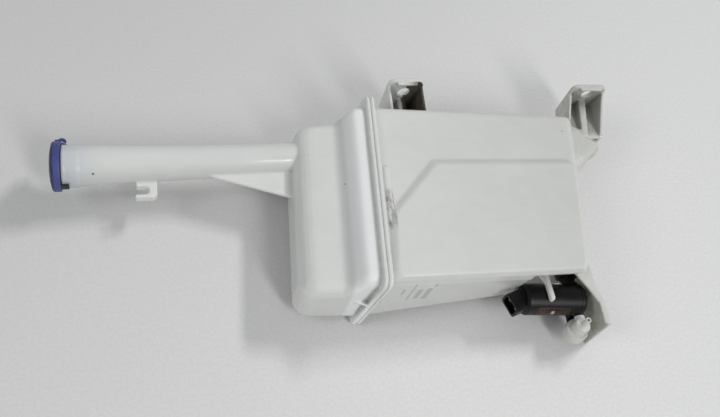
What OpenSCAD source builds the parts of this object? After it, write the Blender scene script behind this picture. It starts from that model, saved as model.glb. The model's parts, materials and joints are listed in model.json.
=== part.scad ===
// Washer fluid reservoir lying on its back: two welded halves, a flip cap and a plug-in pump.
// x runs along the filler neck, y across the tank towards the brackets, z up from the floor.

/* [Tank] */
// Width of the tank across the weld flange
tank_w = 186; // [180:1:194]
// Depth of the tank from back to front at the weld flange
tank_d = 76; // [70:1:84]
// Length of the lower half from weld flange to end wall
lower_len = 222; // [216:1:230]
// Length of the upper half from weld flange to end wall
upper_len = 65; // [60:1:72]
// Wall thickness of both halves
wall = 2.5; // [2:0.1:3]
// Radius of the long corners
corner_r = 9; // [6:1:12]
// How much the pump side leans in towards the far end
side_draft = 14; // [10:1:16]
// How much the bracket side comes in towards the far end
top_draft = 7; // [4:1:10]
// How much the back rises towards the far end
back_draft = 12; // [6:1:16]
// Radius of the far end
end_r = 8; // [5:1:12]
// Height of the raised front panel
panel_h = 5; // [3:0.5:8]
// Run of the ramp up to the raised panel
panel_ramp = 13; // [9:1:16]
// Depth of the step from collar to shoulder
shoulder_step = 16; // [8:1:20]

/* [Weld flange] */
// How far the weld flange stands out
flange_w = 6; // [4:0.5:8]
// Extra reach of the weld flange on the bracket side
flange_ear = 4; // [0:0.5:6]
// Thickness of each flange
flange_t = 4; // [3:0.5:5]
// Lean of the weld plane from front to back in degrees
flange_lean = 8; // [0:1:10]
// Swing of the weld plane from side to side in degrees
flange_swing = 5; // [0:1:7]
// Swing of the far end wall in degrees
end_swing = 12; // [8:1:14]
// Rake of the far end wall in degrees
end_rake = 18; // [16:1:20]

/* [Filler neck] */
// Length of the neck from upper half to mouth
neck_len = 198; // [175:1:220]
// Outside radius of the neck
neck_r = 15.4; // [14.5:0.1:16]
// Outside radius of the mouth
mouth_r = 18.8; // [18.2:0.1:19.4]
// Lean of the neck towards the bracket side in degrees
neck_lean = 1.3; // [0:0.1:2]
// Neck position across the tank
neck_y = 59; // [50:1:62]
// Thickness of the web under the neck
web_t = 4; // [3:0.5:6]
// Width of the hose hook
hook_w = 8; // [5:0.5:12]

/* [Cap] */
// Radius of the cap
cap_r = 22; // [21.6:0.1:23]
// Thickness of the cap
cap_t = 10; // [8.5:0.5:11]
// Depth of the plug inside the mouth
plug_depth = 4.5; // [3:0.5:6]
// Radius of the hinge pin
hinge_pin_r = 1.3; // [1:0.1:1.5]
// Width of the hinge over both hooks
hinge_w = 8.8; // [8:0.2:11]

/* [Brackets] */
// Width of the bolt plate near the weld flange
bracket_w = 37; // [32:1:42]
// Width of the bolt plate at the far end
far_bracket_w = 41; // [36:1:44]
// Depth of each bolt plate
bracket_d = 46; // [40:1:50]
// Gap from tank side to bolt plate face
bracket_reach = 32; // [28:1:40]
// Thickness of the bolt plates
plate_t = 4; // [3:0.5:5]
// Radius of the bolt holes
bolt_r = 6; // [5:0.5:7]
// Distance between the bolt holes
bolt_pitch = 207; // [201:1:211]
// Position of the first bracket from the weld flange
bracket_x = 59; // [52:1:64]

/* [Foot] */
// Reach of the foot below the pump pocket
foot_reach = 58; // [54:1:64]
// Thickness of the foot plate
foot_t = 3; // [2.5:0.5:4]
// Height of the front strip of the foot
foot_h = 60; // [57:1:66]

/* [Pump] */
// Radius of the pump body
pump_r = 14.5; // [14:0.1:15.5]
// Length of the pump body left of the inlet
motor_len = 49; // [47:1:55]
// Height of the pump axis above the floor
pump_z = 38; // [36:1:40]
// Tilt of the pump in the pocket in degrees
pump_tilt = 4.5; // [0:0.5:6]
// Distance from pump axis to pocket wall
inlet_reach = 27; // [26:0.5:30]
// Outside radius of the inlet pipe
inlet_r = 6.5; // [5.5:0.1:7]
// Radius of the grommet hole
grommet_hole_r = 8.8; // [8.2:0.1:9.2]
// Radius of the motor shaft
shaft_r = 1; // [0.8:0.1:1.2]
// Radius of the impeller
impeller_r = 10.6; // [9:0.1:10.8]
// Number of impeller vanes
vane_count = 6; // [4:1:8]

/* [Valve] */
// Radius of the valve rim
valve_r = 10.8; // [10:0.1:12]
// Radius of the valve dome
dome_r = 7.5; // [6.5:0.1:8.5]
// Radius of the hose nipple
nipple_r = 2.6; // [2.2:0.1:3]
// Length of the hose nipple
nipple_len = 10; // [7:0.5:14]

/* [Hidden] */
$fn = 48;
fit_gap = 0.3;
run_gap = 0.03;
back_z = flange_w;
front_z = back_z + tank_d;
mid_z = back_z + tank_d / 2;
front_fall = 4.5;
low_side = -87;
high_side = low_side + tank_w;
mid_y = (low_side + high_side) / 2;
lean = tan(flange_lean);
swing = tan(flange_swing);
far_swing = tan(end_swing);
rake = -tan(end_rake);
front_len = lower_len + rake * (front_z - mid_z);
neck_z = back_z + tank_d * 0.474;
mouth_x = -upper_len - neck_len;
mouth_bore = mouth_r - 2.2;
rim_r = mouth_r + 0.5;
cap_gap = fit_gap;
neck_root = neck_y + neck_len * tan(neck_lean);
knuckle_r = hinge_pin_r + 2.6;
hinge_r = rim_r + knuckle_r + 0.4;
hinge_y = neck_y + hinge_r;
lug_r = hinge_pin_r + 1.3;
lug_t = 3;
hook_t = (hinge_w - lug_t) / 2 - fit_gap;
plate_y = high_side + bracket_reach;
plate_corner = 8;
gusset_t = 3;
far_low = high_side - top_draft - 18;
bolt_z = front_z - 16;
far_x = bracket_x + bolt_pitch;
sump_tip = far_x + 5;
sump_w = 79;
sump_tip_w = 35;
pump_x = lower_len - 32;
pocket_y = low_side + 18;
pump_y = pocket_y - inlet_reach;
roof_z = front_z - 8;
pocket_u = -motor_len - 3.5;
chamber_u = 0.4;
case_end = chamber_u + 6;
cover_t = 2.8;
bulkhead = -8;
suction_r = 6.5;
chamber_r = pump_r - 3;
motor_r = pump_r - 1.9;
brush_r = 3;
core_r = motor_r - 3.8;
valve_u = 5;
valve_v = -pump_r - 10.5;
valve_low = -22;
valve_seat = -15.2;
diaphragm_t = 1;
cover_low = valve_seat + diaphragm_t;
dome_top = 2;
cup_r = valve_r - 1.8;
arm_w = 9;
valve_y = pump_y - valve_u * sin(pump_tilt) + valve_v * cos(pump_tilt);
low_x = mouth_x - cap_gap - cap_t;
high_x = far_x + far_bracket_w / 2;
low_y = valve_y - valve_r;
shift = [-(low_x + high_x) / 2, -(low_y + plate_y) / 2, 0];

// A point part of the way from one value to another.
function blend(a, b, t) = a + (b - a) * t;

// A step that starts and ends softly between 0 and 1.
function soft_step(t) = let (k = max(0, min(1, t))) k * k * (3 - 2 * k);

// The arc that rounds one corner of an outline.
function corner_arc(before, at, after, r, n) =
    let (
        d1 = (before - at) / norm(before - at),
        d2 = (after - at) / norm(after - at),
        half = acos(d1 * d2) / 2,
        centre = at + (d1 + d2) / norm(d1 + d2) * r / sin(half),
        start = at + d1 * r / tan(half) - centre,
        end = at + d2 * r / tan(half) - centre,
        a0 = atan2(start[1], start[0]),
        turn = (atan2(end[1], end[0]) - a0 + 900) % 360 - 180
    )
    [for (k = [0:n]) centre + r * [cos(a0 + turn * k / n), sin(a0 + turn * k / n)]];

// An outline with every corner rounded.
function rounded(points, r, n = 5) =
    let (m = len(points))
    [for (i = [0:m - 1]) each corner_arc(points[(i + m - 1) % m], points[i], points[(i + 1) % m], r, n)];

// The four corners of a tank section, pulled in by a margin and rounded.
function section(low_back, high_back, high_front, low_front, inset, r) =
    rounded([
        low_back + [inset, inset],
        high_back + [-inset, inset],
        high_front + [-inset, -inset],
        low_front + [inset, -inset]
    ], max(r - inset, 2));

// A section set upright at x and sheared to its weld plane or end wall.
function stand(outline, x, side, back) =
    [for (p = outline) [x + side * p[0] + back * (p[1] - mid_z), p[0], p[1]]];

// A flat outline laid at a height over the front, which falls towards the far end.
function lay(outline, h) = [for (p = outline) [p[0], p[1], front_z + h - front_fall * p[0] / lower_len]];

// A solid skinned through sections that run along +x, or along +z where they lie flat.
module loft(sections) {
    m = len(sections[0]);
    n = len(sections);
    polyhedron(
        [for (s = sections) each s],
        [
            [for (j = [0:m - 1]) j],
            for (i = [0:n - 2]) for (j = [0:m - 1]) each [
                [i * m + j, (i + 1) * m + j, (i + 1) * m + (j + 1) % m],
                [i * m + j, (i + 1) * m + (j + 1) % m, i * m + (j + 1) % m]
            ],
            [for (j = [m - 1:-1:0]) (n - 1) * m + j]
        ],
        convexity = 6
    );
}

// A lower half section, t of the way from weld flange to end wall.
function lower_section(t, inset) = section(
    [blend(low_side, low_side + side_draft, t), blend(back_z, back_z + back_draft, t)],
    [blend(high_side, high_side - top_draft, t), blend(back_z, back_z + back_draft, t)],
    [blend(high_side, high_side - top_draft, t), front_z - front_fall * t],
    [low_side, front_z - front_fall * t],
    inset, corner_r);

// Where a lower half section stands.
function lower_stand(x, inset, x_out) =
    let (t = x / lower_len)
    stand(lower_section(t, inset), x_out, blend(swing, far_swing, t), blend(lean, rake, t));

module lower_body(margin, start) {
    tip = lower_len - margin;
    loft([
        lower_stand(0, margin, start),
        for (t = [0.25:0.25:0.75]) lower_stand(lower_len * t, margin, lower_len * t),
        for (a = [0:18:90])
            lower_stand(tip - end_r, margin + end_r * (1 - cos(a)), tip - end_r + end_r * sin(a))
    ]);
}

// The raised panel with its diagonal corner; the margin pulls it in for the cavity.
module panel(margin) {
    end_low = front_len + far_swing * low_side - 2;
    end_high = front_len + far_swing * 30 - 2;
    top = [
        [end_low - 3 - margin, low_side + 3 + margin],
        [end_high - 3 - margin, 26 - margin],
        [68 + margin / 2, 26 - margin],
        [19 + margin, -23],
        [9 + margin, low_side + 3 + margin]
    ];
    foot = [
        [end_low - margin, low_side + 1 + margin],
        [end_high - margin, 26 + panel_ramp - margin],
        [68 - panel_ramp * 0.4 + margin / 2, 26 + panel_ramp - margin],
        [10 + margin, -23 + panel_ramp * 0.3],
        [margin, low_side + 1 + margin]
    ];
    loft([
        lay(rounded(foot, 6), -12 - margin),
        for (t = [0:0.2:1])
            lay(rounded(foot + (top - foot) * t, 6), blend(-0.6, panel_h, soft_step(t)) - margin)
    ]);
}

// The sloping sump beyond the end wall on the bracket side.
function sump_section(t, inset) =
    let (
        low = high_side - blend(sump_w, sump_tip_w, t),
        high = high_side - top_draft - blend(0.5, 6, t),
        back = back_z + back_draft + blend(2, 8, t),
        front = front_z - blend(9, 28, t)
    )
    section([low, back], [high, back], [high, front], [low, front], inset, 8);

module sump(margin, start) {
    tip = sump_tip - margin;
    loft([
        stand(sump_section(0, margin), start, far_swing, rake),
        for (a = [0:18:90])
            stand(sump_section(1, margin + 7 * (1 - cos(a))), tip - 7 + 7 * sin(a), 0, 0)
    ]);
}

// One weld flange, with a groove beside the weld line; side is 1 for the lower half.
module weld_flange(side) {
    outline = function (inset) section(
        [low_side - flange_w, 0], [high_side + flange_w + flange_ear, 0],
        [high_side + flange_w + flange_ear, front_z + flange_w - 1],
        [low_side - flange_w, front_z + flange_w - 1],
        inset, corner_r);
    rims = [[0, 1], [1, 0], [flange_t, 0]];
    faces = side > 0 ? rims : [for (i = [2:-1:0]) [-rims[i][0], rims[i][1]]];
    loft([for (f = faces) stand(outline(f[1]), f[0], swing, lean)]);
}

// A small gusset that stays the weld flange against the pump side; side is 1 for the lower half.
module flange_gusset(side) {
    foot = swing * low_side;
    translate([0, 0, mid_z - gusset_t / 2]) linear_extrude(gusset_t) polygon([
        [foot + side * 2, low_side - flange_w + 1], [foot + side * 16, low_side + 0.5],
        [foot + side * 16, low_side + wall / 2], [foot + side * 2, low_side + wall / 2]
    ]);
}

// A narrow raised strip on the front, beside the weld flange.
module flange_strip() {
    low = mid_y - tank_w * 0.2;
    high = mid_y + tank_w * 0.12;
    near = lean * (front_z - mid_z) + flange_t + 3;
    translate([0, 0, front_z - wall]) linear_extrude(wall + 1.5) polygon(rounded([
        [near + swing * low, low], [near + swing * low + 6, low],
        [near + swing * high + 6, high], [near + swing * high, high]
    ], 2));
}

// An upper half section at a distance left of the weld flange.
function upper_stand(depth, inset, x) =
    let (
        k = soft_step((depth - 12) / 18),
        t = min(1, depth / upper_len),
        low = low_side + 1.5 * t,
        high = high_side - 6 * k - 2 * t,
        back = back_z + 1.5 * t,
        front = front_z - shoulder_step * k - 1.5 * t
    )
    stand(section([low, back], [high, back], [high, front], [low, front], inset, corner_r + 4 * t),
        x, swing, blend(lean, 0.02, t));

module upper_body(margin, start) {
    round_r = 17;
    tip = upper_len - margin;
    loft([
        for (a = [90:-15:0])
            upper_stand(tip - round_r, margin + round_r * (1 - cos(a)), -tip + round_r - round_r * sin(a)),
        for (d = [30:-2:12]) upper_stand(d, margin, -d),
        upper_stand(0, margin, start)
    ]);
}

// Turns an axis that points up into one that points out of the filler mouth.
module on_neck() {
    translate([mouth_x, neck_y, neck_z]) rotate([0, -90, 0]) children();
}

// The same, following the lean of the neck.
module along_neck() {
    translate([mouth_x, neck_y, neck_z]) rotate([0, -90, neck_lean]) children();
}

// The neck flares towards a straight mouth; the wall is what the bore leaves.
module neck_form(wall_t, reach, mouth) {
    along_neck() rotate_extrude() polygon([
        [0, -reach], [neck_r - wall_t, -reach], [neck_r - wall_t, -130],
        [blend(neck_r, mouth_r, 0.38) - wall_t, -60], [blend(neck_r, mouth_r, 0.78) - wall_t, -26],
        [mouth_r - 0.4 - wall_t, -10], [0, -10]
    ]);
    on_neck() translate([0, 0, -14]) cylinder(r = mouth_r - wall_t, h = 14 + mouth);
}

module neck_tube() {
    neck_form(0, neck_len + 18, 0);
    on_neck() translate([0, 0, -2.5]) cylinder(r = rim_r, h = 2.5);
}

module neck_bore() {
    neck_form(2.2, neck_len + 30, 1);
}

// Stiffening webs where the neck meets the upper half.
module neck_webs() {
    root = -upper_len + 8;
    low = neck_y - neck_r;
    high = neck_root + neck_r;
    translate([0, 0, neck_z - web_t / 2]) linear_extrude(web_t) {
        polygon([[root - 99, low + 9], [root, low + 9], [root, low - 23], [root - 6, low - 23]]);
        polygon([[root - 58, high - 5], [root, high - 5], [root, high + 3.4], [root - 8, high + 3.4]]);
    }
}

// A hook under the neck that takes the hose, open towards the mouth.
module hose_hook() {
    x = mouth_x + 61;
    y = neck_y - neck_r + 3.5;
    translate([0, 0, neck_z - 6 - hook_w / 2]) linear_extrude(hook_w) polygon([
        [x + 1, y + 3], [x + 19, y + 3], [x + 19, y - 17], [x + 16, y - 20], [x, y - 20],
        [x, y - 16.5], [x + 10, y - 16.5], [x + 12, y - 14.5], [x + 12, y - 10.5], [x + 10, y - 8.5],
        [x + 1, y - 8.5]
    ]);
}

// A lug with a moulded pin that the cap's two hooks snap onto.
module hinge_lug() {
    root_y = neck_y + mouth_r - 3;
    translate([0, 0, neck_z - lug_t / 2]) linear_extrude(lug_t) {
        translate([mouth_x, hinge_y]) circle(lug_r);
        polygon([
            [mouth_x, root_y], [mouth_x + 8, root_y], [mouth_x + lug_r, hinge_y], [mouth_x, hinge_y]
        ]);
    }
    translate([mouth_x, hinge_y, neck_z - hinge_w / 2]) cylinder(r = hinge_pin_r, h = hinge_w);
}

module upper_half() {
    color([0.86, 0.87, 0.86]) difference() {
        union() {
            upper_body(0, -flange_t / 2);
            weld_flange(-1);
            flange_gusset(-1);
            neck_tube();
            neck_webs();
            hose_hook();
            hinge_lug();
        }
        upper_body(wall, 2);
        neck_bore();
    }
}

// An upright wall of a bracket: its foot lies a slope left of its top at the plate.
module bracket_wall(x, thick, low, slope, profile) {
    intersection() {
        linear_extrude(2 * tank_d) polygon([
            [x, plate_y - 1], [x - slope, low], [x - slope + thick, low], [x + thick, plate_y - 1]
        ]);
        translate([x - 2 * bracket_w, 0, 0]) rotate([90, 0, 90]) linear_extrude(4 * bracket_w)
            polygon(profile);
    }
}

// One bolt bracket: rounded plate, lip, side gussets, sloping floor, boss and a rib behind the hole.
// The floor rises from bed_z at the plate to floor_z at the tank.
module bracket(x, wide, front, low, slope, bed_z, floor_z) {
    half = wide / 2;
    back = front - bracket_d;
    gusset = [[low, back + 2], [plate_y - 1, back], [plate_y - 1, front - plate_corner], [low, front - 16]];
    rib = [[low, back + 2], [plate_y - 1, back], [plate_y - 1, bolt_z - bolt_r - 4], [low, floor_z + 2]];
    bed = [[low, floor_z - gusset_t], [plate_y - 1, bed_z - gusset_t], [plate_y - 1, bed_z], [low, floor_z]];
    translate([x, plate_y, 0]) rotate([90, 0, 0]) linear_extrude(plate_t) polygon(concat(
        [[-half, back], [half, back]],
        corner_arc([half, back], [half, front], [-half, front], plate_corner, 8),
        corner_arc([half, front], [-half, front], [-half, back], plate_corner, 8)
    ));
    translate([x, plate_y - plate_t + 0.5, bolt_z]) rotate([90, 0, 0]) cylinder(r = bolt_r + 2.4, h = 1.7);
    translate([x - half + plate_corner, plate_y - 8, front - gusset_t])
        cube([wide - 2 * plate_corner, 8, gusset_t]);
    bracket_wall(x - half, gusset_t, low, slope, gusset);
    bracket_wall(x + half - gusset_t, gusset_t, low, slope, gusset);
    bracket_wall(x - 4, 8, low, slope, rib);
    bracket_wall(x - half + 0.5, wide - 1, low, slope, bed);
}

module bolt_hole(x) {
    translate([x, plate_y + 1, bolt_z]) rotate([90, 0, 0]) cylinder(r = bolt_r, h = 12);
}

// Moves to the pump: x along the motor, y along the inlet into the tank.
module on_pump() {
    translate([pump_x, pump_y, pump_z]) rotate([0, 0, -pump_tilt]) children();
}

// Points an upright axis along the motor.
module along_motor(u) {
    translate([u, 0, 0]) rotate([0, 90, 0]) children();
}

// Points an upright axis along the inlet into the tank.
module along_inlet(v) {
    translate([0, v, 0]) rotate([-90, 0, 0]) children();
}

// The pocket that the pump plugs into; the margin grows it by the wall.
module pump_pocket(margin) {
    left = pocket_u - margin;
    deep = inlet_reach + margin;
    on_pump() translate([0, 0, -80]) linear_extrude(80 + roof_z - pump_z + margin)
        polygon([[left, -80], [left, deep - 3], [left + 3, deep], [120, deep], [120, -80]]);
}

// The finger over the pump and its web.
module pump_finger() {
    x = pump_x - 33;
    z = pump_z + pump_r + fit_gap;
    translate([0, 0, z]) linear_extrude(6) polygon([
        [x, pocket_y + 5], [x + 4.5, pocket_y + 5], [x + 4.5, pump_y - 5], [x + 3, pump_y - 7],
        [x + 1.5, pump_y - 7], [x, pump_y - 5]
    ]);
    translate([0, 0, z + 1]) linear_extrude(3) polygon([
        [x - 13, pocket_y + 5], [x + 1, pocket_y + 5], [x + 1, pocket_y - 17], [x, pocket_y - 17]
    ]);
}

// Plan of the foot wall, leaving the pocket wall and reaching past the pump.
function foot_line() = [
    [pump_x + 12.5, pocket_y + 6], [pump_x + 16.5, pump_y + 1], [pump_x + 21, pump_y - 10],
    [pump_x + 23, pocket_y - foot_reach]
];

// What lies below the slope of the foot's front edge, down to a depth.
module foot_slope(depth) {
    drop = atan(10 / foot_reach);
    translate([0, pocket_y, foot_h]) rotate([drop, 0, 0])
        translate([0, -2 * foot_reach, -depth]) cube([2 * lower_len, 4 * foot_reach, depth]);
}

// The foot: a wall down to the floor with a sloping front strip.
module foot() {
    line = foot_line();
    last = len(line) - 1;
    outer = [for (i = [last:-1:0]) line[i] + [foot_t, 0]];
    intersection() {
        linear_extrude(2 * foot_h) polygon(concat(line, outer));
        foot_slope(2 * foot_h);
    }
    intersection() {
        linear_extrude(2 * foot_h) polygon([
            [pump_x - 9, pocket_y + 3], [pump_x + 9, pump_y + 4], [pump_x + 18, pump_y - 11],
            [pump_x + 18.5, pocket_y - foot_reach + 3], line[3], line[3] + [foot_t, 0],
            line[2] + [foot_t, 0], line[1] + [foot_t, 0], line[0] + [foot_t, 0]
        ]);
        foot_slope(foot_t);
    }
}

module lower_half() {
    color([0.86, 0.87, 0.86]) difference() {
        union() {
            difference() {
                union() {
                    lower_body(0, flange_t / 2);
                    panel(0);
                    sump(0, lower_len - 14);
                    weld_flange(1);
                    flange_gusset(1);
                    flange_strip();
                }
                pump_pocket(0);
            }
            bracket(bracket_x, bracket_w, front_z, high_side - 10, 0, front_z - 42, front_z - 36);
            bracket(far_x, far_bracket_w, front_z - 5, far_low, 17, front_z - 38, front_z - 22);
            foot();
            pump_finger();
        }
        difference() {
            union() {
                lower_body(wall, -2);
                panel(wall);
                sump(wall, lower_len - 20);
            }
            pump_pocket(wall);
        }
        bolt_hole(bracket_x);
        bolt_hole(far_x);
        on_pump() along_inlet(inlet_reach - 5) cylinder(r = grommet_hole_r, h = wall + 12);
    }
}

// Flip cap: domed crown with a plug, two hooks round the hinge pin and a catch on the far side.
module filler_cap() {
    plug_r = mouth_bore - 0.5;
    catch_y = neck_y - rim_r - 0.5;
    top = cap_gap + cap_t;
    hooks = [for (side = [-1, 1]) neck_z + side * (hinge_w - hook_t) / 2 - hook_t / 2];
    color([0.2, 0.24, 0.5]) difference() {
        union() {
            on_neck() rotate_extrude() polygon([
                [0, top - 2.4], [plug_r - 2, top - 4], [plug_r - 2, -plug_depth], [plug_r, -plug_depth],
                [plug_r, cap_gap], [cap_r - 0.5, cap_gap], [cap_r, cap_gap + 0.5], [cap_r, top - 4],
                [cap_r - 0.6, top - 3], [cap_r - 2, top - 2.3], [15, top - 1.1], [8, top - 0.3], [0, top]
            ]);
            for (z = hooks) {
                translate([mouth_x, hinge_y, z]) cylinder(r = knuckle_r, h = hook_t);
                translate([mouth_x - 6, neck_y + cap_r - 4, z])
                    cube([6 - cap_gap, hinge_r - cap_r + 4 + knuckle_r * 0.6, hook_t]);
            }
            translate([mouth_x - 4, catch_y - 2, neck_z - 3]) cube([10.5, 2, 6]);
        }
        translate([mouth_x, hinge_y, neck_z - hinge_w / 2 - 1])
            cylinder(r = hinge_pin_r + run_gap + 0.05, h = hinge_w + 2);
        translate([mouth_x, hinge_y, neck_z - hinge_w / 2 - 1]) rotate([0, 0, -20])
            translate([0, -hinge_pin_r + 0.2, 0]) cube([10, 2 * hinge_pin_r - 0.4, hinge_w + 2]);
        translate([mouth_x, hinge_y, neck_z])
            cylinder(r = lug_r + 0.5, h = lug_t + 2 * fit_gap, center = true);
    }
}

// Rubber grommet that seals the inlet in the pocket wall.
module pump_grommet() {
    color([0.1, 0.1, 0.1]) on_pump() along_inlet(inlet_reach) rotate_extrude() polygon([
        [inlet_r, -3.8], [grommet_hole_r + 1, -3.8], [grommet_hole_r + 2, -2.8], [grommet_hole_r + 2, 0],
        [grommet_hole_r, 0], [grommet_hole_r, wall], [grommet_hole_r + 1.8, wall],
        [grommet_hole_r + 0.8, wall + 2.5], [inlet_r, wall + 2.5]
    ]);
}

// Slotted strainer plugged into the end of the inlet.
module inlet_strainer() {
    top = inlet_reach + wall + 3.5;
    color([0.75, 0.75, 0.72]) on_pump() along_inlet(top) difference() {
        union() {
            translate([0, 0, -3]) cylinder(r = 3.4, h = 3.5);
            cylinder(r = inlet_r - 0.4, h = 7);
        }
        translate([0, 0, -4]) cylinder(r = 2.6, h = 9.5);
        translate([0, 0, 1.2]) cylinder(r = inlet_r - 1.6, h = 4.6);
        for (a = [0:45:135])
            rotate([0, 0, a]) translate([-10, -0.7, 1.8]) cube([20, 1.4, 3.6]);
    }
}

// Pump body: motor bay, bulkhead, suction bore and impeller chamber, with inlet and valve seat.
module motor_case() {
    color([0.14, 0.14, 0.15]) on_pump() difference() {
        union() {
            along_motor(-motor_len) cylinder(r = pump_r, h = motor_len + case_end);
            along_motor(case_end - 3.2) cylinder(r = pump_r + 0.5, h = 3.2);
            along_inlet(5) cylinder(r = inlet_r, h = inlet_reach + wall + 3.5 - 5);
            along_inlet(5) cylinder(r = inlet_r + 2, h = pump_r + 1 - 5);
            translate([valve_u, 0, -3]) rotate([90, 0, 0]) cylinder(r = 5.2, h = pump_r + 1);
            translate([valve_u, valve_v, valve_low]) cylinder(r = cup_r, h = valve_seat - valve_low);
            translate([valve_u - arm_w / 2, valve_v + 4, valve_low + 2])
                cube([arm_w, -valve_v - 6, valve_seat - valve_low - 2]);
            translate([valve_u - arm_w / 2, -12, valve_seat - 1]) cube([arm_w, 10, 5]);
        }
        along_motor(-motor_len - 1) cylinder(r = motor_r, h = motor_len + bulkhead - 2);
        difference() {
            along_motor(bulkhead - 4) cylinder(r = motor_r, h = 4);
            along_motor(bulkhead - 4) cylinder(r = 4.6, h = 5);
        }
        along_motor(bulkhead - 5) cylinder(r = 3, h = 4);
        along_motor(bulkhead - 5) cylinder(r = shaft_r + 0.4, h = 12);
        along_motor(bulkhead + 1) cylinder(r = 4, h = 3);
        along_motor(bulkhead + 3) cylinder(r = suction_r, h = chamber_u - bulkhead - 2.5);
        along_motor(chamber_u) cylinder(r = chamber_r, h = case_end);
        along_motor(case_end) cylinder(r = pump_r, h = 20);
        along_inlet(pump_r) cylinder(r = 3.5, h = 60);
        translate([chamber_u - 3, 0, 0]) along_inlet(0) cylinder(r = 2.5, h = pump_r + 2);
        translate([valve_u, -8, -3]) rotate([90, 0, 0]) cylinder(r = 2, h = 12);
        translate([valve_u, valve_v, valve_low + 2]) cylinder(r = cup_r - 2, h = 10);
    }
}

// End cap of the motor with its angled plug hood.
module on_hood() {
    translate([-motor_len, 0, 0]) rotate([0, 0, 22]) children();
}

module hood_block(length, wide, tall, r) {
    rotate([0, -90, 0]) linear_extrude(length) polygon(rounded([
        [-tall / 2, -wide / 2], [tall / 2, -wide / 2], [tall / 2, wide / 2], [-tall / 2, wide / 2]
    ], r, 3));
}

module blade(side, grow) {
    on_hood() translate([-14, side * 4.6 - 1.4 - grow, -0.4 - grow])
        cube([14, 2.8 + 2 * grow, 0.8 + 2 * grow]);
}

module connector_cap() {
    color([0.1, 0.1, 0.1]) on_pump() difference() {
        union() {
            along_motor(-motor_len - 2.5) cylinder(r1 = pump_r - 1.5, r2 = pump_r, h = 2.5);
            along_motor(-motor_len - 0.5) cylinder(r = motor_r - 0.05, h = 2.5);
            intersection() {
                on_hood() translate([6, 0, 0]) hood_block(23, 20, 15, 3.5);
                along_motor(-2 * motor_len) cylinder(r = motor_len, h = motor_len);
            }
        }
        on_hood() translate([-6.5, 0, 0]) hood_block(20, 15.4, 10.4, 2);
        along_motor(-motor_len - 0.8) cylinder(r = 2.6, h = 6);
        for (side = [-1, 1]) blade(side, 0.02);
    }
}

module terminals() {
    color([0.8, 0.7, 0.4]) on_pump() for (side = [-1, 1]) blade(side, 0);
}

module motor_tube(u, outer, inner, length) {
    along_motor(u) difference() {
        cylinder(r = outer, h = length);
        translate([0, 0, -1]) cylinder(r = inner, h = length + 2);
    }
}

module flux_ring() {
    color([0.6, 0.6, 0.6]) on_pump()
        motor_tube(-motor_len + 8, motor_r - 0.1, motor_r - 1.1, motor_len - 22);
}

// Two arc magnets inside the flux ring.
module magnets() {
    color([0.25, 0.25, 0.26]) on_pump() difference() {
        motor_tube(-motor_len + 12, motor_r - 1.2, core_r + 0.5, motor_len - 30);
        for (a = [0, 180])
            along_motor(-motor_len + 11) rotate([0, 0, a]) linear_extrude(motor_len)
                polygon([[0, 0], [20, -11.5], [20, 11.5]]);
    }
}

// The space between the poles that the wire fills.
module pole_slots(gap) {
    for (a = [0:120:240])
        rotate([0, 0, a]) difference() {
            translate([3.2 + gap, -3.6 + gap, 0]) square([3 - 2 * gap, 7.2 - 2 * gap]);
            circle(3.2);
        }
}

// Three-pole laminated core.
module armature_core() {
    color([0.5, 0.5, 0.52]) on_pump() along_motor(-motor_len + 14)
        linear_extrude(motor_len - 34) difference() {
            circle(core_r);
            pole_slots(0);
            for (a = [0:120:240]) rotate([0, 0, a]) translate([5, -0.6]) square([10, 1.2]);
            circle(shaft_r);
        }
}

// Wire in the slots with a ring of turns at each end.
module windings() {
    long = motor_len - 34;
    color([0.72, 0.4, 0.2]) on_pump() along_motor(-motor_len + 14) {
        translate([0, 0, -3]) linear_extrude(long + 6) pole_slots(0.1);
        for (z = [-3, long]) translate([0, 0, z]) difference() {
            cylinder(r = 7.4, h = 3);
            translate([0, 0, -1]) cylinder(r = 3.1, h = 5);
        }
    }
}

// Segmented copper commutator.
module commutator() {
    color([0.75, 0.45, 0.25]) on_pump() along_motor(-motor_len + 3.5) linear_extrude(7) difference() {
        circle(brush_r);
        circle(shaft_r);
        for (a = [60:120:300]) rotate([0, 0, a]) translate([2.2, -0.2]) square([2, 0.4]);
    }
}

module motor_shaft() {
    long = motor_len + chamber_u + 5;
    color([0.7, 0.7, 0.72]) on_pump() along_motor(-motor_len - 0.5) cylinder(r = shaft_r, h = long);
}

module rear_bush() {
    color([0.7, 0.55, 0.3]) on_pump() motor_tube(-motor_len - 0.8, 2.6, shaft_r + run_gap, 2.6);
}

module front_bush() {
    color([0.7, 0.55, 0.3]) on_pump() motor_tube(bulkhead - 4, 3, shaft_r + run_gap, 3);
}

// Carbon blocks either side of the commutator.
module brushes() {
    color([0.12, 0.12, 0.12]) on_pump() for (side = [-1, 1])
        translate([-motor_len + 4.5, side * (brush_r + 1.7) - 1.45, -1.5]) cube([4, 2.9, 3]);
}

// Leaf springs from the end cap to the back of each brush.
module brush_arms() {
    color([0.8, 0.65, 0.35]) on_pump() for (side = [-1, 1]) {
        translate([-motor_len + 2, side * (brush_r + 3.4) - 0.25, -1.5]) cube([7, 0.5, 3]);
        translate([-motor_len + 2, side * (brush_r + 4.4) - 1.25, -1.5]) cube([0.5, 2.5, 3]);
    }
}

// Lip seal round the shaft in the bulkhead.
module shaft_seal() {
    color([0.15, 0.15, 0.15]) on_pump() motor_tube(bulkhead + 1, 4, shaft_r + 0.05, 2);
}

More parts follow.
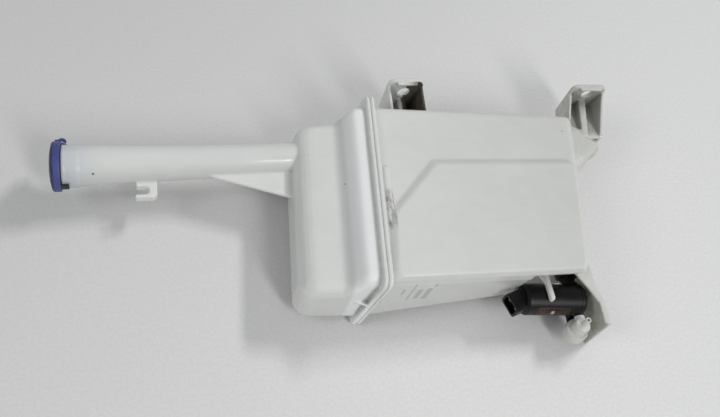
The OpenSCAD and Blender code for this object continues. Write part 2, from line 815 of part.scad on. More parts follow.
module impeller() {
    color([0.8, 0.8, 0.76]) on_pump() along_motor(chamber_u + 0.4) difference() {
        union() {
            cylinder(r = 2.6, h = 4.3);
            translate([0, 0, 3.4]) cylinder(r = impeller_r, h = 0.9);
            for (k = [1:vane_count]) rotate([0, 0, 360 / vane_count * k])
                translate([2, -0.6, 0.2]) cube([impeller_r - 2.4, 1.2, 3.4]);
        }
        translate([0, 0, -1]) cylinder(r = shaft_r, h = 8);
    }
}

// End cover of the impeller chamber.
module pump_cover() {
    color([0.14, 0.14, 0.15]) on_pump() along_motor(case_end) rotate_extrude() polygon([
        [0, -1], [chamber_r - 0.05, -1], [chamber_r - 0.05, 0], [pump_r - 0.4, 0],
        [pump_r - 0.4, cover_t - 2.2], [pump_r - 1.2, cover_t - 0.7], [pump_r - 2.8, cover_t], [0, cover_t]
    ]);
}

module valve_diaphragm() {
    color([0.12, 0.12, 0.12]) on_pump() translate([valve_u, valve_v, valve_seat])
        cylinder(r = cup_r - 0.1, h = diaphragm_t);
}

// White valve half: skirt round the cup, dome, hose nipple and the stub from the pump outlet.
module valve_cover() {
    tall = dome_top - cover_low;
    skirt = cover_low - valve_low;
    grip_r = cup_r + 0.05;
    color([0.82, 0.82, 0.8]) on_pump() translate([valve_u, valve_v, 0]) difference() {
        union() {
            translate([0, 0, cover_low]) rotate_extrude() polygon([
                [0, 0], [grip_r, 0], [grip_r, 1 - skirt], [valve_r - 0.5, 1 - skirt], [valve_r, 1.5 - skirt],
                [valve_r, 3.4], [valve_r - 0.8, 4.2], [dome_r, 4.2],
                [dome_r, tall - 2], [dome_r - 0.7, tall - 0.7], [dome_r - 2, tall], [0, tall]
            ]);
            translate([0, 0, dome_top - 1]) cylinder(r = nipple_r, h = nipple_len + 1);
            translate([0, 5, -3]) rotate([-90, 0, 0]) cylinder(r = 4.8, h = -valve_v - pump_r - 1 - 5);
        }
        translate([0, 0, cover_low - 1]) cylinder(r = dome_r - 1.8, h = tall - 1);
        translate([0, 0, 0]) cylinder(r = 1.5, h = 40);
        translate([0, 2, -3]) rotate([-90, 0, 0]) cylinder(r = 2, h = 20);
        translate([-arm_w / 2 - fit_gap, 4, valve_low])
            cube([arm_w + 2 * fit_gap, 20, valve_seat - valve_low + fit_gap]);
    }
}

translate(shift) {
    upper_half();
    lower_half();
    filler_cap();
    pump_grommet();
    inlet_strainer();
    motor_case();
    connector_cap();
    terminals();
    flux_ring();
    magnets();
    armature_core();
    windings();
    commutator();
    motor_shaft();
    rear_bush();
    front_bush();
    brushes();
    brush_arms();
    shaft_seal();
    impeller();
    pump_cover();
    valve_diaphragm();
    valve_cover();
}
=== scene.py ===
import json
import math

import bmesh
import bpy
from mathutils import Matrix, Vector
from mathutils.bvhtree import BVHTree

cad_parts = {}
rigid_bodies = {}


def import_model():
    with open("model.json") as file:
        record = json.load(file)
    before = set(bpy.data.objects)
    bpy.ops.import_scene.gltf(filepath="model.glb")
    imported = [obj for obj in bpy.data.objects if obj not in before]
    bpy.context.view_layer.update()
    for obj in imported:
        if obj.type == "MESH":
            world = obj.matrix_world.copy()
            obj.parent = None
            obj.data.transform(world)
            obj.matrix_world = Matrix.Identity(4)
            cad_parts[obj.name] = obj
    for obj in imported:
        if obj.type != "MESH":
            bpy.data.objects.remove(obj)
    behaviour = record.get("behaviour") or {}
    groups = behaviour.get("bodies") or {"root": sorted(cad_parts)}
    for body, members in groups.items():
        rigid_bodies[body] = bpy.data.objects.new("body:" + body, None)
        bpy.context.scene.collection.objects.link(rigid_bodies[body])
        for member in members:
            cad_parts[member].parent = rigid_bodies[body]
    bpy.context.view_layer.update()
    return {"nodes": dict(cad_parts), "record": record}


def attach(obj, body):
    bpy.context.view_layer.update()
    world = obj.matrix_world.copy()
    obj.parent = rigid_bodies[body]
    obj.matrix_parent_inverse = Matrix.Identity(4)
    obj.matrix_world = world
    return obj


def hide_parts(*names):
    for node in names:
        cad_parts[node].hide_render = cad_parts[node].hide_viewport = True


for item in list(bpy.data.objects):
    bpy.data.objects.remove(item)
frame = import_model()
print("frame loaded")

scene = bpy.context.scene
scene.view_settings.view_transform = "Standard"

record = frame["record"]
slots = {part["node"]: part["material_slot"] for part in record["subparts"]}
bodies = {node: body for body, nodes in record["behaviour"]["bodies"].items() for node in nodes}
joints = {joint["name"]: joint for joint in record["behaviour"]["joints"]}

# Places below count from the weld flange along x, from the tank's middle across y and from the floor up.
flangeLook = {"fromMouth": 0.263, "fromPump": 0.096}
origin = Vector((
    joints["cap_flip"]["pos_m"][0] + flangeLook["fromMouth"],
    joints["rotor_spin"]["pos_m"][1] + flangeLook["fromPump"],
    0.0,
))


# Node wiring

class Wire:
    def __init__(self, tree, socket):
        self.tree = tree
        self.socket = socket

    def node(self, kind, values, out=0, **props):
        made = self.tree.nodes.new("ShaderNode" + kind)
        for key, value in props.items():
            setattr(made, key, value)
        for key, value in values.items():
            feed(self.tree, made.inputs[key], value)
        return Wire(self.tree, made.outputs[out])

    def math(self, operation, first, second=0.0):
        return self.node("Math", {0: first, 1: second}, operation=operation)

    def __add__(self, other):
        return self.math("ADD", self, other)

    def __radd__(self, other):
        return self.math("ADD", other, self)

    def __sub__(self, other):
        return self.math("SUBTRACT", self, other)

    def __rsub__(self, other):
        return self.math("SUBTRACT", other, self)

    def __mul__(self, other):
        return self.math("MULTIPLY", self, other)

    def __rmul__(self, other):
        return self.math("MULTIPLY", other, self)


def feed(tree, socket, value):
    if isinstance(value, Wire):
        tree.links.new(value.socket, socket)
    else:
        socket.default_value = value


def ramp(value, low, high):  # soft step from 0 at low to 1 at high
    return value.node("MapRange", {0: value, 1: low, 2: high}, interpolation_type="SMOOTHSTEP")


def band(value, low, high, soft):  # 1 between low and high
    return ramp(value, low - soft, low) * ramp(value, high + soft, high)


def noise(place, scale, detail=3.0, rough=0.55, stretch=None):
    if stretch:  # for streaks
        place = place.node("Mapping", {"Vector": place, "Scale": stretch})
    return place.node("TexNoise", {"Vector": place, "Scale": scale, "Detail": detail, "Roughness": rough})


def mixColor(factor, first, second):
    return factor.node("Mix", {0: factor, 6: first, 7: second}, out=2, data_type="RGBA")


def spot(place, centre, radius, core=0.6):  # 1 in the core of a small ball
    distance = place.node("VectorMath", {0: place, 1: centre}, out=1, operation="DISTANCE")
    return ramp(distance, radius, radius * core)


def strongest(masks):
    total = masks[0]
    for mask in masks[1:]:
        total = total.math("MAXIMUM", total, mask)
    return total


class Finish:  # a principled material and the sockets its recipe starts from
    def __init__(self, name):
        self.material = bpy.data.materials.new(name)
        self.material.use_nodes = True
        self.tree = self.material.node_tree
        self.shader = self.tree.nodes["Principled BSDF"]
        coords = self.tree.nodes.new("ShaderNodeTexCoord")
        whole = Wire(self.tree, coords.outputs["Object"])
        self.place = whole.node("VectorMath", {0: whole, 1: origin}, operation="SUBTRACT")
        axes = self.place.node("SeparateXYZ", {0: self.place})
        self.x, self.y, self.z = (Wire(self.tree, axis) for axis in axes.socket.node.outputs)

    def attribute(self, name):
        return self.place.node("Attribute", {}, out=2, attribute_name=name)

    def set(self, **sockets):
        for key, value in sockets.items():
            feed(self.tree, self.shader.inputs[key.replace("_", " ")], value)

    def bump(self, height, strength, distance):
        self.set(Normal=height.node("Bump", {"Strength": strength, "Distance": distance, "Height": height}))


# Materials

tankPlastic = {
    "cloud": {"scale": 14.0, "detail": 4.0},  # noise over the whole tank
    "fine": {"scale": 160.0},
    "streak": {"scale": 5.0, "detail": 4.0, "stretch": (6.0, 40.0, 40.0)},
    "smear": {"scale": 42.0, "detail": 6.0, "rough": 0.7},
    "blotch": {"scale": 260.0, "detail": 5.0, "rough": 0.7, "stretch": (1.0, 0.35, 1.0)},
    "scratch": {"scale": 4.0, "detail": 5.0, "rough": 0.75, "stretch": (30.0, 240.0, 120.0)},
    "swing": 0.0875,  # slant of the weld flange in plan
    "clean": ((0.675, 0.685, 0.665, 1.0), (0.735, 0.743, 0.725, 1.0)),
    "aged": {
        "tone": (0.545, 0.55, 0.52, 1.0),
        "along": (0.0, 0.25), "farEnd": 0.5, "edge": 0.45,
        "smeared": (0.35, 0.7), "smear": 0.12,
        "streaked": (0.4, 0.7), "streak": 0.06,
    },
    # the collar tone is painted light: the sloped collar beside the flange is drawn lighter than the wall
    # around it
    "collar": {"tone": (0.85, 0.86, 0.85, 1.0), "across": (-0.017, -0.004), "soft": 0.005},
    # the blue cast is painted light: blue from the cap, drawn onto the white neck near the mouth
    "capBluePaintedBounce": {"tone": (0.38, 0.43, 0.52, 1.0), "along": (-0.225, -0.262), "amount": 0.4},
    "scuff": {"tone": (0.45, 0.45, 0.43, 1.0), "scratched": (0.6, 0.72), "amount": 0.12},
    # pocket and crevice darken closed-in places: dirt and painted shade together
    "pocket": {"shadeAndGrime": (0.1, 0.5), "shadeAndGrimeLift": 0.2, "smear": (0.12, 0.5), "smearLift": 0.15},
    "crevice": {"shadeAndGrime": (0.45, 0.8), "smear": (0.3, 0.65), "amount": 0.4},
    "strip": {  # the smudge on the narrow strip beside the flange
        "across": (0.0121, 0.0186), "soft": 0.0008,
        "run": (-0.031, -0.002), "runSoft": 0.008,
        "top": (0.079, 0.0815), "blotch": (0.36, 0.66), "amount": 0.75,
    },
    "seam": {  # dirt in the corners of the flange, more towards its lower end
        "across": (-0.008, 0.008), "soft": 0.002, "shadeAndGrime": (0.2, 0.5),
        "run": (0.0, -0.1), "least": 0.2, "more": 0.5,
    },
    "soilAndShade": {"tones": ((0.035, 0.031, 0.024, 1.0), (0.12, 0.108, 0.085, 1.0)), "amount": 0.95},
    # the splash mark is brown stains and painted shade on faces turned to -x, away from the key light
    "splashAndShade": {
        "tones": ((0.10, 0.075, 0.05, 1.0), (0.5, 0.46, 0.38, 1.0)),
        "smear": (0.25, 0.6), "least": 0.35, "more": 0.65, "blotch": (0.4, 0.6),
    },
    "dashes": {
        "tone": (0.3, 0.3, 0.29, 1.0), "amount": 0.5,
        "softAlong": 0.0005, "softUp": 0.0008, "wall": (-0.080, -0.0815),
        "bars": [  # start and end along x, then along z, on the side wall
            (0.0176, 0.0192, 0.052, 0.064),
            (0.0260, 0.0272, 0.039, 0.073),
            (0.0323, 0.0363, 0.041, 0.061),
            (0.0403, 0.0448, 0.039, 0.063),
            (0.0450, 0.0468, 0.066, 0.072),
        ],
    },
    "specks": {
        "tone": (0.02, 0.02, 0.018, 1.0), "amount": 0.9,
        "spots": [  # centre and radius
            ((-0.2366, 0.0446, 0.0520), 0.0012),
            ((-0.0197, 0.0178, 0.0699), 0.0008),
            ((0.1383, -0.0800, 0.0344), 0.0016),
            ((0.2126, 0.0698, 0.0778), 0.0008),
        ],
    },
    "gloss": {"rough": 0.08, "smear": 0.1, "dirtAndShade": 0.45, "specular": 0.3},
    "depth": {"weight": 0.45, "radius": (1.0, 1.0, 0.92), "scale": 0.006},  # light inside the wall
    "bump": {
        "cloud": 0.9, "streak": 0.06, "fine": 0.02, "dashes": 0.3,
        "strength": 0.18, "distance": 0.0012,
    },
}


def tankFinish(name, look):
    skin = Finish(name)
    cloud = noise(skin.place, **look["cloud"])
    fine = noise(skin.place, **look["fine"])
    streak = noise(skin.place, **look["streak"])
    smear = noise(skin.place, **look["smear"])
    blotch = noise(skin.place, **look["blotch"])
    scratch = noise(skin.place, **look["scratch"])
    shadeAndGrime = skin.attribute("shadeAndGrime")
    across = skin.x - skin.y * look["swing"]  # square to the weld flange

    age = look["aged"]
    far = age["farEnd"] * ramp(skin.x, *age["along"]) + age["edge"] * skin.attribute("edge")
    worn = age["smear"] * ramp(smear, *age["smeared"]) + age["streak"] * ramp(streak, *age["streaked"])
    tone = mixColor(far + worn, mixColor(cloud, *look["clean"]), age["tone"])
    # painted light: the collar beside the flange is drawn lighter
    collar = look["collar"]
    tone = mixColor(band(across, *collar["across"], collar["soft"]), tone, collar["tone"])
    capBounce = look["capBluePaintedBounce"]  # painted blue light bounced from the cap onto the neck, stronger towards the mouth
    tone = mixColor(ramp(skin.x, *capBounce["along"]) * capBounce["amount"], tone, capBounce["tone"])
    scuff = look["scuff"]
    tone = mixColor(ramp(scratch, *scuff["scratched"]) * scuff["amount"], tone, scuff["tone"])

    inside = skin.attribute("pocket")
    # painted shade and dirt in the bracket pockets, strongest where they are most closed in
    deep = look["pocket"]
    pocket = inside * ramp(shadeAndGrime + deep["shadeAndGrimeLift"] * inside, *deep["shadeAndGrime"])
    pocket = pocket * ramp(smear + deep["smearLift"] * inside, *deep["smear"])
    # painted shade and dirt in every closed-in corner of the tank
    corner = look["crevice"]
    crevice = ramp(shadeAndGrime, *corner["shadeAndGrime"]) * ramp(smear, *corner["smear"]) * corner["amount"]
    strip = look["strip"]
    smudge = band(across, *strip["across"], strip["soft"]) * band(skin.y, *strip["run"], strip["runSoft"])
    smudge = smudge * ramp(skin.z, *strip["top"]) * ramp(blotch, *strip["blotch"]) * strip["amount"]
    seam = look["seam"]
    seamDirt = band(across, *seam["across"], seam["soft"]) * ramp(shadeAndGrime, *seam["shadeAndGrime"])
    seamDirt = seamDirt * (seam["least"] + seam["more"] * ramp(skin.y, *seam["run"]))
    # dirt and painted shade together: the pocket and crevice marks darken closed-in places as shade falls
    # there
    dirtAndShade = strongest([pocket, crevice, smudge, seamDirt])
    soilAndShade = look["soilAndShade"]
    tone = mixColor(dirtAndShade * soilAndShade["amount"], tone, mixColor(fine, *soilAndShade["tones"]))
    splashAndShade = look["splashAndShade"]
    # painted shade and stains on the faces turned away from the key light
    stainAndShade = skin.attribute("splashAndShade") * (splashAndShade["least"] + splashAndShade["more"] * ramp(smear, *splashAndShade["smear"]))
    tone = mixColor(stainAndShade, tone, mixColor(ramp(blotch, *splashAndShade["blotch"]), *splashAndShade["tones"]))

    dash = look["dashes"]
    bars = [
        band(skin.x, left, right, dash["softAlong"]) * band(skin.z, low, high, dash["softUp"])
        for left, right, low, high in dash["bars"]
    ]
    dashes = strongest(bars) * ramp(skin.y, *dash["wall"])
    tone = mixColor(dashes * dash["amount"], tone, dash["tone"])
    speck = look["specks"]
    specks = strongest([spot(skin.place, centre, radius) for centre, radius in speck["spots"]])
    gloss, depth, bump = look["gloss"], look["depth"], look["bump"]
    skin.set(
        Base_Color=mixColor(specks * speck["amount"], tone, speck["tone"]),
        Roughness=gloss["rough"] + gloss["smear"] * smear + gloss["dirtAndShade"] * dirtAndShade,
        Subsurface_Weight=depth["weight"],
        Subsurface_Radius=depth["radius"],
        Subsurface_Scale=depth["scale"],
        Specular_IOR_Level=gloss["specular"],
    )
    relief = cloud * bump["cloud"] + streak * bump["streak"] + fine * bump["fine"]
    skin.bump(relief + dashes * bump["dashes"], bump["strength"], bump["distance"])
    return skin.material


capPlastic = {
    "cloud": {"scale": 60.0, "detail": 4.0},
    "scratch": {"scale": 3.0, "detail": 6.0, "rough": 0.7, "stretch": (300.0, 90.0, 90.0)},
    "chips": {"scale": 240.0, "detail": 5.0, "rough": 0.7},
    "blue": ((0.040, 0.056, 0.205, 1.0), (0.066, 0.085, 0.272, 1.0)),
    "worn": {"tone": (0.16, 0.19, 0.42, 1.0), "scratched": (0.58, 0.7), "amount": 0.3},
    "dark": (0.012, 0.013, 0.022, 1.0),
    # the cap's closed-in corners and its outer end are darkened as painted shade
    "shadeAndGrime": {"closed": (0.4, 0.9), "amount": 0.5},
    "crown": {"along": (-0.2676, -0.2708), "ragged": 0.004, "amount": 0.9},
    "catch": {"down": (0.0402, 0.0394), "along": (-0.2636, -0.2630)},
    "gloss": {"rough": 0.34, "cloud": 0.2},
    "bump": {"scuff": 0.3, "strength": 0.2, "distance": 0.0004},
}


def capFinish(name, look):
    skin = Finish(name)
    cloud = noise(skin.place, **look["cloud"])
    chips = noise(skin.place, **look["chips"])
    wear, shadeAndGrime, crown, catch = look["worn"], look["shadeAndGrime"], look["crown"], look["catch"]
    scuff = ramp(noise(skin.place, **look["scratch"]), *wear["scratched"])
    worn = mixColor(scuff * wear["amount"], mixColor(cloud, *look["blue"]), wear["tone"])
    # painted shade in the cap's closed-in corners and on its outer end; the catch below is drawn dark
    dark = strongest([
        ramp(skin.attribute("shadeAndGrime"), *shadeAndGrime["closed"]) * shadeAndGrime["amount"],
        ramp(skin.x + crown["ragged"] * (chips - 0.5), *crown["along"]) * crown["amount"],
        ramp(skin.y, *catch["down"]) * ramp(skin.x, *catch["along"]),
    ])
    gloss, bump = look["gloss"], look["bump"]
    skin.set(
        Base_Color=mixColor(dark, worn, look["dark"]),
        Roughness=gloss["rough"] + gloss["cloud"] * cloud,
    )
    skin.bump(cloud + scuff * bump["scuff"], bump["strength"], bump["distance"])
    return skin.material


pumpPlastic = {
    "grain": {"scale": 2200.0, "detail": 2.0},
    "cloud": {"scale": 90.0, "detail": 5.0, "rough": 0.65},
    "rows": {"scale": 1.0, "detail": 1.0, "stretch": (900.0, 60.0, 90.0)},
    "black": ((0.002, 0.0021, 0.0021, 1.0), (0.0048, 0.005, 0.0048, 1.0)),
    "dust": {
        "tone": (0.12, 0.11, 0.095, 1.0), "amount": 0.05,
        "clouded": (0.5, 0.8), "closed": (0.3, 0.8), "corners": 0.8,
    },
    "front": (-0.004, -0.006),  # from the motor's axis, where the faded panel may show
    "panel": {  # along the motor and up its front, with an outline and faded rows
        "tone": (0.2, 0.075, 0.035, 1.0), "amount": 0.7,
        "along": (-0.0395, -0.0085), "up": (-0.001, 0.0080), "soft": 0.0003, "line": 0.0004,
        "rows": (0.5, 0.6), "rowTone": 0.4, "faded": (0.2, 0.55),
    },
    "bare": {  # a rubbed patch in the middle of the panel
        "tone": (0.4, 0.42, 0.38, 1.0), "along": (-0.0255, -0.0235), "up": (0.001, 0.004),
        "soft": 0.0012, "clouded": (0.3, 0.5),
    },
    "gloss": {"rough": 0.26, "cloud": 0.2, "dust": 0.2, "specular": 0.3},
    "bump": {"grain": 0.4, "cloud": 0.6, "strength": 0.25, "distance": 0.0003},
}


def pumpFinish(name, look):
    skin = Finish(name)
    grain = noise(skin.place, **look["grain"])
    cloud = noise(skin.place, **look["cloud"])
    dust, panel, bare = look["dust"], look["panel"], look["bare"]
    corners = ramp(skin.attribute("shadeAndGrime"), *dust["closed"]) * dust["corners"]
    film = (ramp(cloud, *dust["clouded"]) + corners) * dust["amount"]
    black = mixColor(film, mixColor(cloud, *look["black"]), dust["tone"])

    axis = joints["rotor_spin"]["axis"]
    centre = Vector(joints["rotor_spin"]["pos_m"]) - origin
    along = (skin.x - centre.x) * axis[0] + (skin.y - centre.y) * axis[1]
    up = skin.z - centre.z
    (left, right), (low, high) = panel["along"], panel["up"]
    soft = panel["soft"]
    whole, inside = (
        band(along, left + line, right - line, soft) * band(up, low + line, high - line, soft)
        for line in (0.0, panel["line"])
    )
    rows = ramp(noise(skin.place, **look["rows"]), *panel["rows"])
    front = ramp(skin.y, *(centre.y + reach for reach in look["front"]))
    ink = front * (whole - inside + inside * rows * panel["rowTone"]) * ramp(cloud, *panel["faded"])
    printed = mixColor(ink * panel["amount"], black, panel["tone"])
    rubbed = front * band(along, *bare["along"], bare["soft"]) * band(up, *bare["up"], bare["soft"])
    gloss, bump = look["gloss"], look["bump"]
    skin.set(
        Base_Color=mixColor(rubbed * ramp(cloud, *bare["clouded"]), printed, bare["tone"]),
        Roughness=gloss["rough"] + gloss["cloud"] * cloud + gloss["dust"] * film,
        Specular_IOR_Level=gloss["specular"],
    )
    skin.bump(grain * bump["grain"] + cloud * bump["cloud"], bump["strength"], bump["distance"])
    return skin.material


mouldedSurface = {
    "cloud": {"scale": 120.0, "detail": 4.0},
    "fine": {"scale": 900.0, "detail": 2.0},
    "roughSwing": 0.16,
    "bump": {"fine": 0.2, "strength": 0.15, "distance": 0.0003},
}
plastics = {  # name, dark and light tone, and middle roughness of the plain mouldings
    "valve_white": ("valvePlastic", (0.54, 0.54, 0.5, 1.0), (0.68, 0.685, 0.65, 1.0), 0.36),
    "natural_plastic": ("naturalPlastic", (0.55, 0.54, 0.48, 1.0), (0.7, 0.69, 0.63, 1.0), 0.4),
    "rubber": ("rubber", (0.006, 0.006, 0.006, 1.0), (0.018, 0.018, 0.018, 1.0), 0.62),
    "ferrite": ("ferrite", (0.035, 0.035, 0.04, 1.0), (0.07, 0.07, 0.075, 1.0), 0.58),
    "carbon": ("carbon", (0.015, 0.015, 0.015, 1.0), (0.04, 0.04, 0.042, 1.0), 0.5),
}


def plasticFinish(name, dark, light, rough):
    skin = Finish(name)
    cloud = noise(skin.place, **mouldedSurface["cloud"])
    fine = noise(skin.place, **mouldedSurface["fine"])
    swing, bump = mouldedSurface["roughSwing"], mouldedSurface["bump"]
    skin.set(Base_Color=mixColor(cloud, dark, light), Roughness=rough - swing / 2.0 + swing * cloud)
    skin.bump(cloud + fine * bump["fine"], bump["strength"], bump["distance"])
    return skin.material


drawnSurface = {
    "brushed": {"scale": 60.0, "detail": 5.0, "rough": 0.7},
    "stain": {"scale": 220.0, "detail": 4.0},
    "brushedTone": 0.6, "stainTone": 0.4,
    "roughSwing": 0.2,
    "bump": {"strength": 0.2, "distance": 0.0002},
}
metals = {  # name, dark and light tone, middle roughness, and stretch of the brushed lines
    "steel": ("steel", (0.42, 0.43, 0.44, 1.0), (0.62, 0.62, 0.63, 1.0), 0.36, (1.0, 8.0, 8.0)),
    "copper": ("copper", (0.52, 0.22, 0.1, 1.0), (0.8, 0.42, 0.26, 1.0), 0.32, (8.0, 8.0, 1.0)),
    "brass": ("brass", (0.6, 0.44, 0.18, 1.0), (0.82, 0.66, 0.34, 1.0), 0.3, (4.0, 4.0, 4.0)),
}


def metalFinish(name, dark, light, rough, stretch):
    skin = Finish(name)
    brushed = noise(skin.place, **drawnSurface["brushed"], stretch=stretch)
    stain = noise(skin.place, **drawnSurface["stain"])
    swing, bump = drawnSurface["roughSwing"], drawnSurface["bump"]
    blend = brushed * drawnSurface["brushedTone"] + stain * drawnSurface["stainTone"]
    skin.set(
        Base_Color=mixColor(blend, dark, light),
        Roughness=rough - swing / 2.0 + swing * brushed,
        Metallic=1.0,
    )
    skin.bump(brushed, bump["strength"], bump["distance"])
    return skin.material


paperLook = {
    "grain": {"scale": 340.0},
    "patch": {"scale": 2.2},
    "shaded": (0.6, 0.602, 0.593, 1.0),
    "lit": (0.765, 0.767, 0.76, 1.0),
    "reach": (-0.55, 0.4), "slant": 0.6, "ragged": 0.03,  # painted shade and light, from the shaded corner to the lit one
    "fleck": {"tone": (0.4, 0.4, 0.39, 1.0), "grain": (0.3, 0.7), "amount": 0.14},
    "gloss": {"rough": 0.62, "grain": 0.1, "specular": 0.2},
    "bump": {"strength": 0.12, "distance": 0.0006},
}


def floorFinish(name, look):
    skin = Finish(name)
    grain = noise(skin.place, **look["grain"])
    patch = noise(skin.place, **look["patch"])
    fleck, gloss, bump = look["fleck"], look["gloss"], look["bump"]
    # painted light: the floor is drawn darker towards one corner and lighter towards the other
    across = ramp(skin.x - skin.y * look["slant"] + look["ragged"] * patch, *look["reach"])
    paperPaintedLight = mixColor(across, look["shaded"], look["lit"])
    skin.set(
        Base_Color=mixColor(fleck["amount"] * ramp(grain, *fleck["grain"]), paperPaintedLight, fleck["tone"]),
        Roughness=gloss["rough"] + gloss["grain"] * grain,
        Specular_IOR_Level=gloss["specular"],
    )
    skin.bump(grain, bump["strength"], bump["distance"])
    return skin.material


finishes = {
    "tank_plastic": tankFinish("tankPlastic", tankPlastic),
    "cap_blue": capFinish("capPlastic", capPlastic),
    "pump_black": pumpFinish("pumpPlastic", pumpPlastic),
}
for slot, recipe in plastics.items():
    finishes[slot] = plasticFinish(*recipe)
for slot, recipe in metals.items():
    finishes[slot] = metalFinish(*recipe)
for node, item in frame["nodes"].items():  # every CAD node gets its finish, shown or not
    item.data.materials.clear()
    item.data.materials.append(finishes[slots[node]])
print("materials made")


# Moulded pieces

mouldLook = {
    "merge": 1e-6, "smooth": 0.5,
    "rays": 12, "lift": 0.0004, "fade": 0.5,  # how corners are found
    "turnGain": 2.0, "turnDrop": 0.4,  # how squarely a marked face must look its way
}


def mergedCopy(node):
    shape = bmesh.new()
    shape.from_mesh(frame["nodes"][node].data)
    bmesh.ops.remove_doubles(shape, verts=shape.verts, dist=mouldLook["merge"])
    bmesh.ops.recalc_face_normals(shape, faces=shape.faces)
    return shape


def asObject(shape, name, finish):
    mesh = bpy.data.meshes.new(name)
    shape.to_mesh(mesh)
    shape.free()
    item = bpy.data.objects.new(name, mesh)
    scene.collection.objects.link(item)
    mesh.materials.append(finish)
    return item


def applied(item):  # the modifiers become the mesh
    bpy.context.view_layer.update()
    graph = bpy.context.evaluated_depsgraph_get()
    mesh = bpy.data.meshes.new_from_object(item.evaluated_get(graph))
    item.modifiers.clear()
    old = item.data
    item.data = mesh
    mesh.name = old.name + "Soft"
    bpy.data.meshes.remove(old)
    for face in mesh.polygons:
        face.use_smooth = True


def softened(item, voxel, rounds, keep):  # rounds every edge as a mould does
    remesh = item.modifiers.new("voxels", "REMESH")
    remesh.mode = "VOXEL"
    remesh.voxel_size = voxel
    smooth = item.modifiers.new("soften", "SMOOTH")
    smooth.factor = mouldLook["smooth"]
    smooth.iterations = rounds
    thin = item.modifiers.new("thin", "DECIMATE")
    thin.ratio = keep
    applied(item)


def hemisphere(count):  # even directions round +z
    turn = math.pi * (3.0 - math.sqrt(5.0))
    rays = []
    for k in range(count):
        height = (k + 0.5) / count
        flat = math.sqrt(1.0 - height * height)
        rays.append(Vector((flat * math.cos(turn * k), flat * math.sin(turn * k), height)))
    return rays


def addShadeAndGrime(item, reach):  # how closed in each point is, for dirt that gathers in corners and for painted shade there
    mesh = item.data
    points = [vertex.co.copy() for vertex in mesh.vertices]
    tree = BVHTree.FromPolygons(points, [face.vertices for face in mesh.polygons])
    rays = hemisphere(mouldLook["rays"])
    layer = mesh.attributes.new("shadeAndGrime", "FLOAT", "POINT")
    for vertex in mesh.vertices:
        normal = vertex.normal
        turn = normal.to_track_quat("Z", "Y")
        start = vertex.co + normal * mouldLook["lift"]
        hits = 0.0
        for ray in rays:
            found = tree.ray_cast(start, turn @ ray, reach)
            if found[3] is not None:
                hits += 1.0 - mouldLook["fade"] * found[3] / reach
        layer.data[vertex.index].value = hits / len(rays)


def addPatches(item, name, patches):  # marks the faces of some boxes that look a given way
    layer = item.data.attributes.new(name, "FLOAT", "POINT")
    for vertex in item.data.vertices:
        place = vertex.co - origin
        for low, high, facing, strength in patches:
            if all(low[k] < place[k] < high[k] for k in range(3)):
                turned = vertex.normal.dot(Vector(facing)) if facing else 1.0
                square = turned * mouldLook["turnGain"] - mouldLook["turnDrop"]
                layer.data[vertex.index].value = strength * max(0.0, min(1.0, square))


def moulded(node, look):
    item = asObject(mergedCopy(node), look["name"], finishes[slots[node]])
    softened(item, look["voxel"], look["rounds"], look["keep"])
    addShadeAndGrime(item, look["reach"])
    for name, patches in look.get("patches", {}).items():
        addPatches(item, name, patches)
    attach(item, bodies[node])
    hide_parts(node)
    print(look["name"], len(item.data.polygons), "faces")


upperLook = {"name": "upperHalfSkin", "voxel": 0.0009, "rounds": 7, "keep": 0.3, "reach": 0.02}
moulded("upper_half", upperLook)

lowerLook = {
    "name": "lowerHalfSkin", "voxel": 0.0009, "rounds": 7, "keep": 0.22, "reach": 0.025,
    "patches": {  # corners of each box, the way its marked faces look, and how strong the mark is; pocket and splash are dirt and painted shade together
        "pocket": [
            ((0.040, 0.096, 0.03), (0.0785, 0.1275, 0.082), None, 0.3),
            ((0.0595, 0.096, 0.03), (0.0785, 0.1275, 0.082), None, 1.5),
            ((0.225, 0.078, 0.03), (0.286, 0.1275, 0.074), None, 0.45),
        ],
        "splashAndShade": [
            ((0.195, -0.14, 0.0), (0.24, -0.074, 0.06), (-1.0, 0.0, 0.0), 0.3),
            ((0.225, 0.09, 0.02), (0.248, 0.13, 0.076), (-1.0, 0.0, 0.0), 0.3),
        ],
        "edge": [
            ((0.036, 0.1005, 0.0), (0.082, 0.132, 0.09), None, 0.5),
            ((0.226, 0.05, 0.0), (0.29, 0.132, 0.08), None, 0.6),
            ((0.18, -0.14, 0.0), (0.24, -0.09, 0.07), None, 0.4),
        ],
    },
}
moulded("lower_half", lowerLook)

capLook = {"name": "capSkin", "voxel": 0.0004, "rounds": 5, "keep": 0.4, "reach": 0.006}
moulded("filler_cap", capLook)

caseLook = {"name": "motorCaseSkin", "voxel": 0.00035, "rounds": 2, "keep": 0.4, "reach": 0.008}
moulded("motor_case", caseLook)

plugLook = {"name": "connectorSkin", "voxel": 0.0003, "rounds": 4, "keep": 0.4, "reach": 0.008}
moulded("connector_cap", plugLook)

coverLook = {"name": "pumpCoverSkin", "voxel": 0.0004, "rounds": 4, "keep": 0.4, "reach": 0.006}
moulded("pump_cover", coverLook)

valveLook = {"name": "valveSkin", "voxel": 0.00025, "rounds": 2, "keep": 0.4, "reach": 0.006}
moulded("valve_cover", valveLook)


# Floor, light and camera

floorLook = {"half": 6.0}
shape = bmesh.new()
bmesh.ops.create_grid(shape, x_segments=1, y_segments=1, size=floorLook["half"])
floor = asObject(shape, "floor", floorFinish("paperFloor", paperLook))

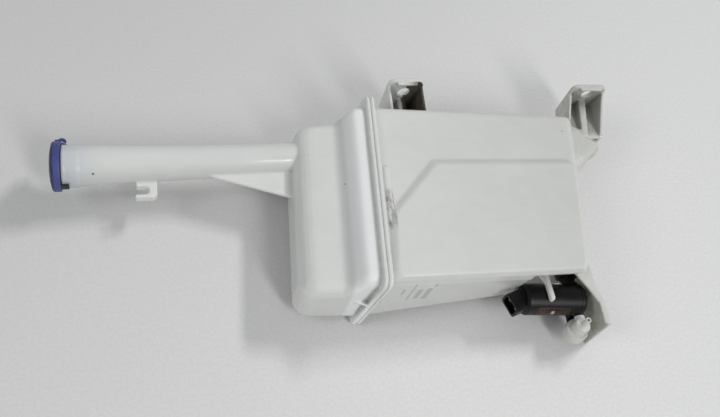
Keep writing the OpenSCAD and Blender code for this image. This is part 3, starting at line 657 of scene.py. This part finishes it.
skyLook = {"tint": (0.96, 0.98, 1.0, 1.0), "strength": 0.3}
world = bpy.data.worlds.new("studio")
world.use_nodes = True
sky = world.node_tree.nodes["Background"].inputs
sky["Color"].default_value = skyLook["tint"]
sky["Strength"].default_value = skyLook["strength"]
scene.world = world


def areaLight(name, look):
    light = bpy.data.lights.new(name, "AREA")
    light.shape = "RECTANGLE"
    light.size = look["across"]
    light.size_y = look["along"]
    light.energy = look["watts"]
    item = bpy.data.objects.new(name, light)
    item.visible_glossy = look["mirrored"]  # off where a flat face would glare
    scene.collection.objects.link(item)
    toLight = Vector(look["toward"]).normalized()
    side = Vector(look["up"]).cross(toLight).normalized()
    turn = Matrix((side, toLight.cross(side), toLight)).transposed().to_4x4()
    item.matrix_world = Matrix.Translation(toLight * look["distance"]) @ turn


keyLook = {
    "toward": (0.61, 0.29, 0.74), "up": (0.03, 0.86, 0.0), "distance": 8.0,
    "across": 0.7, "along": 2.2, "watts": 240.0, "mirrored": False,
}
areaLight("key", keyLook)

windowLook = {
    "toward": (0.28, -0.68, 0.68), "up": (0.0, 0.0, 1.0), "distance": 3.0,
    "across": 0.5, "along": 1.4, "watts": 30.0, "mirrored": True,
}
areaLight("window", windowLook)

doorLook = {
    "toward": (-0.75, -0.15, 0.64), "up": (0.0, 0.0, 1.0), "distance": 3.0,
    "across": 1.2, "along": 1.2, "watts": 18.0, "mirrored": False,
}
areaLight("door", doorLook)

cameraLook = {
    "eye": (-0.2059, -0.3478, 0.6646), "aim": (0.01295, 0.0318, 0.0), "roll": 23.95,
    "lens": 40.0, "sensor": 36.0,
}
lens = bpy.data.cameras.new("photoCamera")
lens.lens = cameraLook["lens"]
lens.sensor_width = cameraLook["sensor"]
camera = bpy.data.objects.new("photoCamera", lens)
scene.collection.objects.link(camera)
eye = Vector(cameraLook["eye"]) + origin
aim = Vector(cameraLook["aim"]) + origin
turn = (aim - eye).to_track_quat("-Z", "Y").to_matrix().to_4x4()
roll = Matrix.Rotation(math.radians(cameraLook["roll"]), 4, "Z")
camera.matrix_world = Matrix.Translation(eye) @ turn @ roll
scene.camera = camera
print("stage set")
